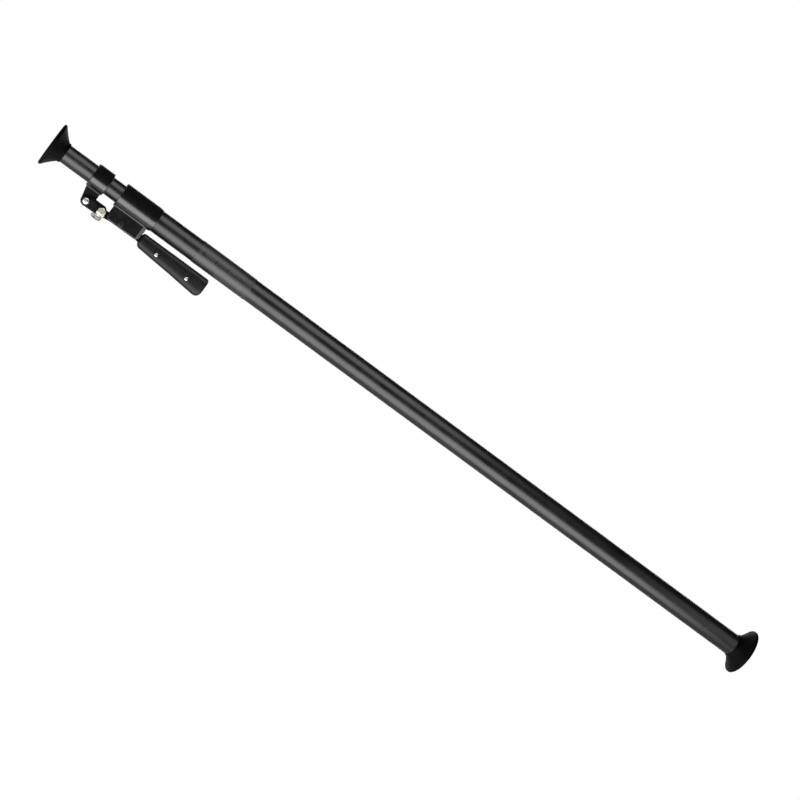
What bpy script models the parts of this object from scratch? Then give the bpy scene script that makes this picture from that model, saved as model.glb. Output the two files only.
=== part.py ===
"""Telescopic cargo bar: two tubes, two rubber feet and a toggle lever that drives them apart.

The pole lies along X. The fixed foot bears on its wall at X = 0 and the sliding foot points to -X.
Stations along the pole are given as a distance from the sliding foot's face, and at() turns them into X.
The lever hangs under the pole, in the plane Y = 0, and -Y is the near side.
"""

import math

import bmesh
import bpy
from mathutils import Matrix, Vector

# Driving dimensions, in metres
LENGTH = 1.820           # closed length, face to face
GAP = 0.0003             # clearance between pieces that touch
ROUND = 48               # facets round a tube or a foot
SMALL_ROUND = 24         # facets round a pin or a screw

INNER_R = 0.020
INNER_WALL = 0.002
INNER_TAIL = 1.700       # station of the inner tube's hidden end
OUTER_R = 0.0245
OUTER_WALL = 0.002
MOUTH = 0.176            # station of the outer tube's open end

TOP_FOOT_DEPTH = 0.034
BASE_FOOT_DEPTH = 0.030
FOOT_LIP = 0.0020        # rubber round the tube where it enters the foot
TOP_RIM_R = 0.0475
BASE_RIM_R = 0.052
FOOT_RECESS = 0.006
PLUG_DEPTH = 0.030
TUBE_IN_FOOT = 0.0143    # how far a tube's end stays from the foot's face

GRIP_START = 0.102
GRIP_END = 0.140
GRIP_R = 0.026
LINER_R = 0.0215
COLLAR_START = 0.170
COLLAR_END = 0.260
COLLAR_R = 0.027
COLLAR_CHAMFER = 0.0020
COLLAR_TAPER = 0.0012    # drop of the lever collar's radius towards its end

PIVOT = (0.205, -0.048)  # station and Z of the lever's pivot
NOSE = (0.159, -0.052)   # pin between lever and link
DRIVE = (0.1214, -0.052) # bolt between link and gripping collar

ARM_HALF = 0.006         # half thickness of the lever arm and of the collar's lug
PLATE = 0.006            # thickness of one side of the link
PLATE_TOP = -0.038       # height of the link's upper edge
CHEEK_HALF = 0.012
CHEEK_END = 0.252
COLLAR_SCREWS = ((0.195, -0.004), (0.235, -0.004))
PIN_R = 0.004
BOLT_R = 0.003
SLOT_PLAY = 0.0024       # extra length of the link's slot, towards the nose
SLOT_R = 0.004
CATCH_THICK = 0.0018
CATCH_PAD = ((0.1495, -0.0665), (0.1615, -0.0665))
CATCH_PAD_R = 0.0055

GRIP_HANDLE_START = 0.254
GRIP_HANDLE_END = 0.417
HANDLE_TOP = -0.034
HANDLE_HALF = 0.015
HANDLE_SCREWS = ((0.298, -0.056), (0.375, -0.059))
SCREW_R = 0.002
HEAD_SINK = 0.0022       # depth of the recess round a handle screw's head

LABEL = (0.361, 0.493)
LABEL_SKIN = 0.00035


def at(station):
    """World X of a station measured from the sliding foot's face."""
    return station - LENGTH


def point(pair, y=0.0):
    """World place of a (station, z) pair."""
    return Vector((at(pair[0]), y, pair[1]))


# Materials

def material(name, colour, roughness, metallic=0.0):
    mat = bpy.data.materials.new(name)
    mat.use_nodes = True
    shader = mat.node_tree.nodes["Principled BSDF"]
    shader.inputs["Base Color"].default_value = (*colour, 1.0)
    shader.inputs["Roughness"].default_value = roughness
    shader.inputs["Metallic"].default_value = metallic
    return mat


def make_materials():
    return {
        "anodised": material("anodised", (0.022, 0.023, 0.026), 0.38, 0.6),
        "cast": material("cast", (0.012, 0.012, 0.014), 0.30, 0.2),
        "rubber": material("rubber", (0.010, 0.010, 0.011), 0.70),
        "plastic": material("plastic", (0.014, 0.014, 0.016), 0.45),
        "bush": material("bush", (0.05, 0.05, 0.05), 0.55),
        "steel": material("steel", (0.62, 0.62, 0.62), 0.25, 1.0),
        "blackened": material("blackened", (0.02, 0.02, 0.022), 0.35, 0.8),
        "brass": material("brass", (0.72, 0.58, 0.36), 0.30, 1.0),
        "label": material("label", (0.12, 0.12, 0.125), 0.50),
    }


# Frames: an empty on each joint's axis

def frame(name, place, parent=None):
    empty = bpy.data.objects.new(name, None)
    empty.empty_display_size = 0.03
    bpy.context.collection.objects.link(empty)
    attach(empty, place, parent)
    return empty


def attach(obj, place, parent):
    """Put an object at a world place under an unrotated parent."""
    obj["world_place"] = tuple(place)
    start = Vector(parent["world_place"]) if parent else Vector((0.0, 0.0, 0.0))
    obj.parent = parent
    obj.location = Vector(place) - start


def finish(name, bm, place, parent, mat):
    bmesh.ops.recalc_face_normals(bm, faces=bm.faces[:])
    mesh = bpy.data.meshes.new(name)
    bm.to_mesh(mesh)
    bm.free()
    mesh.shade_smooth()
    mesh.set_sharp_from_angle(angle=math.radians(35))
    mesh.materials.append(mat)
    obj = bpy.data.objects.new(name, mesh)
    bpy.context.collection.objects.link(obj)
    attach(obj, place, parent)
    return obj


# Shapes

def turned(profile, axis="X", facets=ROUND):
    """An (along, radius) profile spun about the local X or Y axis; it is closed unless it ends on the axis."""
    bm = bmesh.new()
    if axis == "X":
        corners = [bm.verts.new((along, 0.0, radius)) for along, radius in profile]
        spin_axis = (1.0, 0.0, 0.0)
    else:
        corners = [bm.verts.new((0.0, along, radius)) for along, radius in profile]
        spin_axis = (0.0, 1.0, 0.0)
    ends_on_axis = profile[0][1] == 0.0
    following = corners[1:] if ends_on_axis else corners[1:] + corners[:1]
    edges = [bm.edges.new(pair) for pair in zip(corners, following)]
    bmesh.ops.spin(bm, geom=corners + edges, cent=(0, 0, 0), axis=spin_axis, dvec=(0, 0, 0),
                   angle=2 * math.pi, steps=facets, use_merge=True)
    bmesh.ops.remove_doubles(bm, verts=bm.verts[:], dist=1e-6)
    return bm


def ring_profile(start, end, inner, outer, chamfer=0.0):
    """Profile of a tube or ring, with its outer corners chamfered."""
    c = chamfer
    if c == 0.0:
        return [(start, inner), (end, inner), (end, outer), (start, outer)]
    return [(start, inner), (end, inner), (end, outer - c), (end - c, outer), (start + c, outer),
            (start, outer - c)]


def solid_profile(sections):
    """Profile of a solid of revolution from (along, radius) sections, closed on the axis."""
    return [(sections[0][0], 0.0)] + sections + [(sections[-1][0], 0.0)]


def arc(centre, radius, start, end, steps):
    """Points on an arc in the XZ plane; angles in degrees from +X towards +Z."""
    points = []
    for i in range(steps + 1):
        angle = math.radians(start + (end - start) * i / steps)
        points.append((centre[0] + radius * math.cos(angle), centre[1] + radius * math.sin(angle)))
    return points


def belt(a, radius_a, b, radius_b, steps=10):
    """Outline round two circles and their outer tangents, for a at the -X side of b."""
    run = math.dist(a, b)
    tilt = math.degrees(math.atan2(b[1] - a[1], b[0] - a[0]))
    lean = math.degrees(math.asin((radius_a - radius_b) / run))
    return (arc(a, radius_a, tilt + 90 - lean, tilt + 270 + lean, steps)
            + arc(b, radius_b, tilt - 90 + lean, tilt + 90 - lean, steps))


def prism(outline, y_low, y_high, chamfer=0.0):
    """An outline in the XZ plane made into a plate from y_low to y_high."""
    bm = bmesh.new()
    base = bm.faces.new([bm.verts.new((x, y_low, z)) for x, z in outline])
    grown = bmesh.ops.extrude_face_region(bm, geom=[base])
    moved = [v for v in grown["geom"] if isinstance(v, bmesh.types.BMVert)]
    bmesh.ops.translate(bm, verts=moved, vec=(0.0, y_high - y_low, 0.0))
    bmesh.ops.recalc_face_normals(bm, faces=bm.faces[:])
    if chamfer:
        rims = [e for e in bm.edges if abs(e.verts[0].co.y - e.verts[1].co.y) < 1e-6]
        bmesh.ops.bevel(bm, geom=rims, offset=chamfer, segments=1, affect="EDGES", clamp_overlap=True)
    return bm


def box(low, high):
    bm = bmesh.new()
    size = Vector(high) - Vector(low)
    centre = (Vector(high) + Vector(low)) / 2
    bmesh.ops.create_cube(bm, size=1.0, matrix=Matrix.Translation(centre) @ Matrix.Diagonal((*size, 1.0)))
    return bm


def relative(outline, origin):
    return [(x - origin[0], z - origin[1]) for x, z in outline]


def helper(name, bm, place, parent):
    """A cutter or an addition that a Boolean reads and the build leaves out."""
    obj = finish(name, bm, place, parent, bpy.data.materials["cast"])
    obj.hide_render = True
    obj.display_type = "WIRE"
    return obj


def combine(obj, tool, operation):
    step = obj.modifiers.new(tool.name, "BOOLEAN")
    step.operation = operation
    step.object = tool
    step.solver = "EXACT"


def trim_round(obj, name, radius, parent):
    """Cut away what lies within a radius of the pole's axis."""
    bm = turned(solid_profile([(-LENGTH, radius), (0.0, radius)]))
    combine(obj, helper(name, bm, (0.0, 0.0, 0.0), parent), "DIFFERENCE")


def bores(obj, name, spots, origin, parent):
    """Cut holes along Y at (station, z) spots, each with its own (along, radius) profile and facets."""
    joined = bmesh.new()
    for pair, profile, facets in spots:
        one = turned(profile, "Y", facets)
        offset = (pair[0] - origin[0], 0.0, pair[1] - origin[1])
        bmesh.ops.translate(one, verts=one.verts[:], vec=offset)
        scratch = bpy.data.meshes.new("scratch")
        one.to_mesh(scratch)
        one.free()
        joined.from_mesh(scratch)
        bpy.data.meshes.remove(scratch)
    combine(obj, helper(name, joined, point(origin), parent), "DIFFERENCE")


def through(radius, reach=0.05):
    return solid_profile([(-reach, radius), (reach, radius)])


def hex_nut(name, spot, start, end, corner_r, bore, mats, body):
    nut = finish(name, prism(arc((0.0, 0.0), corner_r, 0, 300, 5), start, end, 0.0003), point(spot), body,
                 mats["steel"])
    bores(nut, name + "_bore", [(spot, through(bore), SMALL_ROUND)], spot, body)


# Tubes and bushes

def outer_tube(mats, body):
    length = LENGTH - TUBE_IN_FOOT - MOUTH
    bm = turned(ring_profile(0.0, length, OUTER_R - OUTER_WALL, OUTER_R, 0.0004))
    return finish("outer_tube", bm, (at(MOUTH), 0, 0), body, mats["anodised"])


def inner_tube(mats, body):
    length = INNER_TAIL - TUBE_IN_FOOT
    bm = turned(ring_profile(0.0, length, INNER_R - INNER_WALL, INNER_R, 0.0004))
    return finish("inner_tube", bm, (at(TUBE_IN_FOOT), 0, 0), body, mats["anodised"])


def mouth_bush(mats, body):
    """Flanged guide bush: the flange closes the mouth and the sleeve sits inside the outer tube."""
    bore = INNER_R + GAP
    sleeve = OUTER_R - OUTER_WALL - GAP
    flange_end = MOUTH - COLLAR_START - GAP
    profile = [(0.0005, bore), (0.028, bore), (0.028, sleeve), (flange_end, sleeve),
               (flange_end, OUTER_R - GAP), (0.0005, OUTER_R - GAP)]
    return finish("mouth_bush", turned(profile), (at(COLLAR_START), 0, 0), body, mats["bush"])


def tail_bush(mats, body):
    """Cap on the hidden end of the inner tube that slides in the outer tube."""
    outside = OUTER_R - OUTER_WALL - GAP
    bore = INNER_R + GAP
    profile = [(-0.025, bore), (GAP, bore), (GAP, 0.008), (0.004, 0.008), (0.004, outside - 0.001),
               (0.003, outside), (-0.024, outside), (-0.025, outside - 0.0008)]
    return finish("tail_bush", turned(profile), (at(INNER_TAIL), 0, 0), body, mats["bush"])


def label_band(mats, body):
    inner = OUTER_R + GAP
    bm = turned(ring_profile(0.0, LABEL[1] - LABEL[0], inner, inner + LABEL_SKIN))
    return finish("label_band", bm, (at(LABEL[0]), 0, 0), body, mats["label"])


# Feet. Each is drawn with X running inwards from its bearing face, and inward is +1 or -1 in world X.

def facing(profile, inward):
    return [(along * inward, radius) for along, radius in profile]


def foot_profile(rim, tube_r, depth):
    """Rubber cup: flat bearing ring, recess for the screw, flared back and a socket for the tube."""
    bore = tube_r + GAP
    back_r = tube_r + FOOT_LIP
    flare_start = 0.006
    flare_end = depth - 0.001
    flare = []
    for i in range(7):
        t = i / 6
        radius = rim - 0.0009 + (back_r - rim + 0.0009) * t - 0.0012 * 4 * t * (1 - t)
        flare.append((flare_start + (flare_end - flare_start) * t, radius))
    return ([(FOOT_RECESS, 0.0036), (FOOT_RECESS, rim * 0.58), (0.001, rim * 0.64), (0.0, rim * 0.67),
             (0.0, rim - 0.0015), (0.0015, rim), (0.0048, rim)] + flare
            + [(depth, back_r - 0.0006), (depth, bore), (TUBE_IN_FOOT - 0.0026, bore),
               (TUBE_IN_FOOT - 0.0026, 0.0036)])


def foot_set(prefix, rim, depth, tube_r, wall, face_x, inward, mats, body):
    """Rubber foot, the plug in the tube's end, and the screw and washer that hold them together."""
    floor_back = TUBE_IN_FOOT - 0.0026
    place = (face_x, 0, 0)
    rubber = turned(facing(foot_profile(rim, tube_r, depth), inward))
    finish(prefix + "_foot", rubber, place, body, mats["rubber"])
    core = tube_r - wall - GAP
    plug = [(floor_back + GAP, 0.0026), (floor_back + GAP, tube_r), (TUBE_IN_FOOT - GAP, tube_r),
            (TUBE_IN_FOOT - GAP, core), (TUBE_IN_FOOT + PLUG_DEPTH, core),
            (TUBE_IN_FOOT + PLUG_DEPTH, 0.0026)]
    finish(prefix + "_plug", turned(facing(plug, inward)), place, body, mats["plastic"])
    washer_top = FOOT_RECESS - GAP
    washer = ring_profile(washer_top - 0.0013, washer_top, 0.0028, 0.011)
    finish(prefix + "_foot_washer", turned(facing(washer, inward), facets=SMALL_ROUND), place, body,
           mats["steel"])
    under = washer_top - 0.0013 - GAP
    screw = solid_profile([(under - 0.0026, 0.0035), (under - 0.0018, 0.0050), (under, 0.0052),
                           (under, 0.0023), (TUBE_IN_FOOT + 0.020, 0.0023)])
    finish(prefix + "_foot_screw", turned(facing(screw, inward), facets=SMALL_ROUND), place, body,
           mats["steel"])


# Gripping collar, driven by the link

def grip_collar(mats, body):
    """Ring on the friction liner, with a lug below it that the link's bolt passes through."""
    length = GRIP_END - GRIP_START
    bore = LINER_R + GAP
    ring = turned(ring_profile(0.0, length, bore, GRIP_R, COLLAR_CHAMFER))
    collar = finish("grip_collar", ring, (at(GRIP_START), 0, 0), body, mats["cast"])
    outline = ([(GRIP_START + 0.003, -0.018), (GRIP_START + 0.003, -0.028)]
               + arc(DRIVE, 0.0105, 200, 330, 10)
               + [(GRIP_END - 0.003, -0.046), (GRIP_END - 0.003, -0.018)])
    lug = helper("grip_lug", prism(relative(outline, DRIVE), -ARM_HALF, ARM_HALF, 0.0008),
                 point(DRIVE), body)
    trim_round(lug, "grip_lug_trim", bore + 0.0015, body)
    bores(lug, "grip_bolt_hole", [(DRIVE, through(BOLT_R + GAP), SMALL_ROUND)], DRIVE, body)
    combine(collar, lug, "UNION")


def grip_liner(mats, body):
    bm = turned(ring_profile(0.001, GRIP_END - GRIP_START - 0.001, INNER_R + GAP, LINER_R))
    finish("grip_liner", bm, (at(GRIP_START), 0, 0), body, mats["bush"])


def link_bolt(mats, body):
    """Domed bolt through the link's slots and the collar's lug, with a washer and a nut."""
    face = ARM_HALF + 2 * GAP + PLATE
    washer = ring_profile(-face - GAP - 0.0012, -face - GAP, BOLT_R + GAP, 0.0088)
    finish("link_bolt_washer", turned(washer, "Y", SMALL_ROUND), point(DRIVE), body, mats["blackened"])
    seat = face + 2 * GAP + 0.0012
    bolt = solid_profile([(-seat - 0.0042, 0.0030), (-seat - 0.0036, 0.0052), (-seat - 0.0022, 0.0068),
                          (-seat, 0.0072), (-seat, BOLT_R), (face + 0.0075, BOLT_R)])
    finish("link_bolt", turned(bolt, "Y", SMALL_ROUND), point(DRIVE), body, mats["steel"])
    hex_nut("link_nut", DRIVE, face + GAP, face + GAP + 0.0052, 0.0062, BOLT_R + GAP, mats, body)


# Lever collar and what is fixed to it

def lever_collar(mats, body):
    """Ring on the tube's mouth, with two cheeks that carry the lever between them."""
    length = COLLAR_END - COLLAR_START
    bore = OUTER_R + GAP
    ring = turned([(0.0, bore), (length, bore), (length, COLLAR_R - COLLAR_TAPER),
                   (length - 0.008, COLLAR_R),
                   (COLLAR_CHAMFER, COLLAR_R), (0.0, COLLAR_R - COLLAR_CHAMFER)])
    collar = finish("lever_collar", ring, (at(COLLAR_START), 0, 0), body, mats["cast"])
    start = COLLAR_START + 0.003
    outline = [(start, -0.019), (start, -0.050), (start + 0.006, -0.057), (CHEEK_END - 0.008, -0.057),
               (CHEEK_END, -0.050), (CHEEK_END, -0.019)]
    block = prism(relative(outline, PIVOT), -CHEEK_HALF, CHEEK_HALF)
    taper = [e for e in block.edges
             if min(v.co.x for v in e.verts) > CHEEK_END - PIVOT[0] - 1e-5
             and abs(e.verts[0].co.y - e.verts[1].co.y) < 1e-6]
    bmesh.ops.bevel(block, geom=taper, offset=0.006, segments=1, affect="EDGES")
    belly = [e for e in block.edges
             if max(v.co.z for v in e.verts) < -0.0085 and abs(e.verts[0].co.y) > CHEEK_HALF - 1e-5
             and abs(e.verts[0].co.y - e.verts[1].co.y) < 1e-6 and e.calc_length() > 0.02]
    bmesh.ops.bevel(block, geom=belly, offset=0.0025, segments=1, affect="EDGES")
    cheeks = helper("collar_cheeks", block, point(PIVOT), body)
    trim_round(cheeks, "collar_cheeks_trim", bore + 0.0012, body)
    slot = box((start - 0.01 - PIVOT[0], -ARM_HALF - 0.0004, -0.02),
               (CHEEK_END + 0.01 - PIVOT[0], ARM_HALF + 0.0004, -0.0272 - PIVOT[1]))
    combine(cheeks, helper("collar_slot", slot, point(PIVOT), body), "DIFFERENCE")
    bores(cheeks, "collar_pin_hole", [(PIVOT, through(PIN_R + GAP), SMALL_ROUND)], PIVOT, body)
    combine(collar, cheeks, "UNION")
    hole = solid_profile([(0.022, SCREW_R + GAP), (0.032, SCREW_R + GAP)])
    spots = [(pair, hole, 12) for pair in COLLAR_SCREWS]
    bores(collar, "collar_screw_holes", spots, (COLLAR_START, 0.0), body)


def collar_screws(mats, body):
    for i, spot in enumerate(COLLAR_SCREWS):
        bm = turned(solid_profile([(OUTER_R + GAP, SCREW_R), (COLLAR_R - 0.0010, SCREW_R)]), "Y", 12)
        finish("collar_screw_%d" % (i + 1), bm, point(spot), body, mats["blackened"])


def pivot_pin(mats, body):
    tip = CHEEK_HALF + 0.003
    head = -CHEEK_HALF - GAP
    bm = turned(solid_profile([(head - 0.0022, 0.0050), (head - 0.0016, 0.0062), (head, 0.0066),
                               (head, PIN_R), (tip, PIN_R)]), "Y", SMALL_ROUND)
    finish("pivot_pin", bm, point(PIVOT), body, mats["blackened"])
    clip = turned(ring_profile(CHEEK_HALF + GAP, CHEEK_HALF + GAP + 0.0012, PIN_R + GAP, 0.0072), "Y",
                  SMALL_ROUND)
    finish("pivot_clip", clip, point(PIVOT), body, mats["steel"])


def stop_bumper(mats, body):
    """Rubber block between the cheeks, just above the closed lever."""
    outline = [(0.228, -0.0385), (0.244, -0.0385), (0.244, -0.0275), (0.228, -0.0275)]
    centre = (0.236, -0.033)
    bm = prism(relative(outline, centre), -ARM_HALF, ARM_HALF, 0.0006)
    finish("stop_bumper", bm, point(centre), body, mats["rubber"])


# Lever

def arm_outline():
    """Nose eye, pivot boss and a tail that runs down the middle of the handle."""
    nose = arc(NOSE, 0.0082, 95, 265, 8)
    boss_low = arc(PIVOT, 0.0088, 240, 290, 3)
    boss_high = arc(PIVOT, 0.0088, 80, 110, 2)
    tail = [(0.246, -0.0562), (GRIP_HANDLE_START + 0.006, -0.0588), (0.395, -0.0660), (0.395, -0.0480),
            (GRIP_HANDLE_START, -0.0400), (0.226, -0.0390)]
    return nose + boss_low + tail + boss_high


def lever_arm(mats, body):
    bm = prism(relative(arm_outline(), PIVOT), -ARM_HALF, ARM_HALF, 0.0006)
    arm = finish("lever_arm", bm, point(PIVOT), body, mats["cast"])
    spots = [(pair, through(PIN_R + GAP), SMALL_ROUND) for pair in (PIVOT, NOSE)]
    spots += [(pair, through(SCREW_R + GAP), 12) for pair in HANDLE_SCREWS]
    bores(arm, "arm_holes", spots, PIVOT, body)


def handle_outline():
    """The handle's side view: level top, belly that deepens towards a rounded end."""
    end = GRIP_HANDLE_END
    return ([(GRIP_HANDLE_START, HANDLE_TOP - 0.005), (GRIP_HANDLE_START, -0.056),
             (GRIP_HANDLE_START + 0.008, -0.064), (GRIP_HANDLE_START + 0.040, -0.0685)]
            + arc((end - 0.012, -0.066), 0.012, 265, 360, 5)
            + arc((end - 0.006, HANDLE_TOP - 0.006), 0.006, 0, 90, 3)
            + [(GRIP_HANDLE_START + 0.005, HANDLE_TOP)])


def grip_shell(name, side, mats, body):
    """Half of the handle, on the near side (-1) or the far side (+1), with a pocket for the arm."""
    outline = relative(handle_outline(), PIVOT)
    bm = prism(outline, GAP / 2, HANDLE_HALF)
    rim = [e for e in bm.edges if min(v.co.y for v in e.verts) > HANDLE_HALF - 1e-6]
    bmesh.ops.bevel(bm, geom=rim, offset=0.0045, segments=2, profile=0.5, affect="EDGES")
    bmesh.ops.scale(bm, verts=bm.verts[:], vec=(1.0, side, 1.0))
    shell = finish(name, bm, point(PIVOT), body, mats["plastic"])
    pocket_outline = [(GRIP_HANDLE_START - 0.01, -0.0600), (GRIP_HANDLE_START + 0.006, -0.0602),
                      (0.3956, -0.0668), (0.3956, -0.0470), (GRIP_HANDLE_START - 0.01, -0.0380)]
    pocket = prism(relative(pocket_outline, PIVOT), -ARM_HALF - GAP, ARM_HALF + GAP)
    combine(shell, helper(name + "_pocket", pocket, point(PIVOT), body), "DIFFERENCE")
    seat = HANDLE_HALF - HEAD_SINK
    step = solid_profile([(-0.001, SCREW_R + GAP), (seat, SCREW_R + GAP), (seat, 0.0046),
                          (HANDLE_HALF + 0.01, 0.0046)])
    step = [(along * side, radius) for along, radius in step]
    spots = [(pair, step, SMALL_ROUND) for pair in HANDLE_SCREWS]
    bores(shell, name + "_screw_holes", spots, PIVOT, body)


def handle_screws(mats, body):
    seat = HANDLE_HALF - HEAD_SINK + GAP
    for i, spot in enumerate(HANDLE_SCREWS):
        screw = solid_profile([(-seat - 0.0026, 0.0022), (-seat - 0.0019, 0.0037), (-seat, 0.0042),
                               (-seat, SCREW_R), (seat + 0.0024, SCREW_R)])
        finish("grip_screw_%d" % (i + 1), turned(screw, "Y", SMALL_ROUND), point(spot), body,
               mats["steel"])
        hex_nut("grip_nut_%d" % (i + 1), spot, seat, seat + 0.0020, 0.0042, SCREW_R + GAP, mats, body)


# Link

def link_outline():
    """Eye at the gripping collar, straight upper edge, and a crown over the nose pin."""
    return (arc(DRIVE, 0.0105, 110, 270, 9) + arc(NOSE, 0.0095, 270, 360, 5)
            + [(NOSE[0] + 0.0088, NOSE[1] + 0.0060), (NOSE[0] + 0.0050, NOSE[1] + 0.0112),
               (NOSE[0] + 0.0015, PLATE_TOP), (DRIVE[0] + 0.0080, PLATE_TOP)])


def link_plate(name, side, mats, body):
    """Side of the link, with a round hole at the nose and a slotted one at the gripping collar."""
    near = ARM_HALF + GAP
    outline = relative(link_outline(), NOSE)
    faces = sorted((side * near, side * (near + PLATE)))
    plate = finish(name, prism(outline, faces[0], faces[1], 0.0006), point(NOSE), body, mats["cast"])
    bores(plate, name + "_nose_hole", [(NOSE, through(PIN_R + GAP), SMALL_ROUND)], NOSE, body)
    ends = (DRIVE, (DRIVE[0] + SLOT_PLAY, DRIVE[1]))
    slot = prism(relative(belt(ends[0], SLOT_R, ends[1], SLOT_R), NOSE), -0.05, 0.05)
    combine(plate, helper(name + "_slot", slot, point(NOSE), body), "DIFFERENCE")


def nose_pin(mats, body):
    """Brass pin with a six-sided head, held by a clip on the far side."""
    face = ARM_HALF + GAP + PLATE
    seat = face + CATCH_THICK + 2 * GAP
    head = turned(solid_profile([(-seat - 0.0065, 0.0080), (-seat - 0.0052, 0.0096), (-seat, 0.0096)]), "Y", 6)
    pin = finish("nose_pin", head, point(NOSE), body, mats["brass"])
    shank = turned(solid_profile([(-seat - 0.002, PIN_R), (face + 0.003, PIN_R)]), "Y", SMALL_ROUND)
    combine(pin, helper("nose_shank", shank, point(NOSE), body), "UNION")
    clip = turned(ring_profile(face + GAP, face + GAP + 0.0012, PIN_R + GAP, 0.0072), "Y", SMALL_ROUND)
    finish("nose_clip", clip, point(NOSE), body, mats["steel"])


# Thumb catch


def safety_catch(mats, body):
    """Flat eye on the nose pin with a wide thumb pad below it, its lower rim bent outwards."""
    face = -ARM_HALF - GAP - PLATE - GAP
    left, right = CATCH_PAD
    outline = arc(left, CATCH_PAD_R, 90, 270, 8) + arc(right, CATCH_PAD_R, 270, 390, 6)
    outline += arc(NOSE, 0.0085, -30, 210, 12)
    plate = prism(relative(outline, NOSE), face - CATCH_THICK, face, 0.0003)
    catch = finish("safety_catch", plate, point(NOSE), body, mats["steel"])
    inside = CATCH_PAD_R - 0.0016
    rim = arc(left, CATCH_PAD_R - 0.0002, 180, 270, 4) + arc(right, CATCH_PAD_R - 0.0002, 270, 360, 4)
    rim += arc(right, inside, 360, 270, 4) + arc(left, inside, 270, 180, 4)
    lip = prism(relative(rim, NOSE), face - CATCH_THICK - 0.0045, face - 0.0008)
    combine(catch, helper("catch_lip", lip, point(NOSE), body), "UNION")
    bores(catch, "catch_hole", [(NOSE, through(PIN_R + GAP), SMALL_ROUND)], NOSE, body)


def clear_scene():
    for obj in list(bpy.data.objects):
        bpy.data.objects.remove(obj, do_unlink=True)


def build():
    clear_scene()
    mats = make_materials()
    fixed = frame("outer_pole_frame", (0.0, 0.0, 0.0))
    grip = frame("grip_slide", (at(GRIP_START), 0.0, 0.0), fixed)
    inner = frame("inner_slide", (at(0.0), 0.0, 0.0), grip)
    lever = frame("lever_pivot", point(PIVOT), fixed)
    link = frame("link_pivot", point(NOSE), lever)
    catch = frame("catch_pivot", point(NOSE), link)

    outer_tube(mats, fixed)
    mouth_bush(mats, fixed)
    label_band(mats, fixed)
    lever_collar(mats, fixed)
    collar_screws(mats, fixed)
    pivot_pin(mats, fixed)
    stop_bumper(mats, fixed)
    foot_set("base", BASE_RIM_R, BASE_FOOT_DEPTH, OUTER_R, OUTER_WALL, 0.0, -1, mats, fixed)

    inner_tube(mats, inner)
    tail_bush(mats, inner)
    foot_set("top", TOP_RIM_R, TOP_FOOT_DEPTH, INNER_R, INNER_WALL, at(0.0), 1, mats, inner)

    grip_collar(mats, grip)
    grip_liner(mats, grip)
    link_bolt(mats, grip)

    lever_arm(mats, lever)
    grip_shell("grip_shell_near", -1, mats, lever)
    grip_shell("grip_shell_far", 1, mats, lever)
    handle_screws(mats, lever)

    link_plate("link_plate_near", -1, mats, link)
    link_plate("link_plate_far", 1, mats, link)
    nose_pin(mats, link)
    safety_catch(mats, catch)


build()
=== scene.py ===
"""Visual model of the telescopic cargo bar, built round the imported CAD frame.

The pole lies along X, with the fixed foot's face at X = 0 and the sliding foot's face at X = -1.82.
Stations are distances from the sliding foot's face, in metres. The lever hangs at -Z and -Y is the near side.
"""

import math

import bmesh
import bpy
import numpy as np
from mathutils import Matrix, Vector


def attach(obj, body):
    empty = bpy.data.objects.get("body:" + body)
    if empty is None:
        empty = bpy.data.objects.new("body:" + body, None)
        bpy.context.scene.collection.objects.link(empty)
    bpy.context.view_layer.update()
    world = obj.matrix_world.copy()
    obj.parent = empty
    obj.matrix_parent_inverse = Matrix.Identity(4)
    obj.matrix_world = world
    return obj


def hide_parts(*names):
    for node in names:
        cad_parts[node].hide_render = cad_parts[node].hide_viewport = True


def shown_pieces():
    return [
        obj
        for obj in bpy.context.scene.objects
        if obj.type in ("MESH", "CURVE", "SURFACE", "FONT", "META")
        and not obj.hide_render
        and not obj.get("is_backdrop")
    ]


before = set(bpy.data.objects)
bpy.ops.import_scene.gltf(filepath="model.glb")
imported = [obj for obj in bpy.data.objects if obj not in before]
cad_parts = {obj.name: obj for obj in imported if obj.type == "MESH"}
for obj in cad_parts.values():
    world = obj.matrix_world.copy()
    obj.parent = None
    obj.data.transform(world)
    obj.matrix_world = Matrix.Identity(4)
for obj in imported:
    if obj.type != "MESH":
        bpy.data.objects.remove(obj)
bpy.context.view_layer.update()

# Dimensions shared with the CAD, in metres
LENGTH = 1.820
GAP = 0.0003
INNER_R = 0.020
OUTER_R = 0.0245
WALL = 0.002
MOUTH = 0.176
INNER_TAIL = 1.700
TUBE_IN_FOOT = 0.0143
TOP_FOOT_DEPTH = 0.034
BASE_FOOT_DEPTH = 0.030
FOOT_RECESS = 0.006
TOP_RIM_R = 0.0475
BASE_RIM_R = 0.052
GRIP_START, GRIP_END, GRIP_R = 0.102, 0.140, 0.026
LINER_R = 0.0215
COLLAR_START, COLLAR_END, COLLAR_R = 0.170, 0.260, 0.027
COLLAR_TAPER = 0.0012
CHEEK_HALF, CHEEK_END = 0.012, 0.252
PIVOT = (0.205, -0.048)
NOSE = (0.159, -0.052)
DRIVE = (0.1214, -0.052)
ARM_HALF = 0.006
PLATE = 0.006
PLATE_TOP = -0.038
PIN_R = 0.004
BOLT_R = 0.003
SCREW_R = 0.002
CATCH_THICK = 0.0018
CATCH_PAD = ((0.1495, -0.0665), (0.1615, -0.0665))
CATCH_PAD_R = 0.0055
HANDLE_START, HANDLE_END = 0.254, 0.417
HANDLE_TOP = -0.034
HANDLE_HALF = 0.015
HANDLE_SCREWS = ((0.298, -0.056), (0.375, -0.059))
HEAD_SINK = 0.0022
COLLAR_SCREWS = ((0.195, -0.004), (0.235, -0.004))
LABEL = (0.361, 0.493)
LABEL_R = (OUTER_R + GAP, OUTER_R + GAP + 0.00035)

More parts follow.
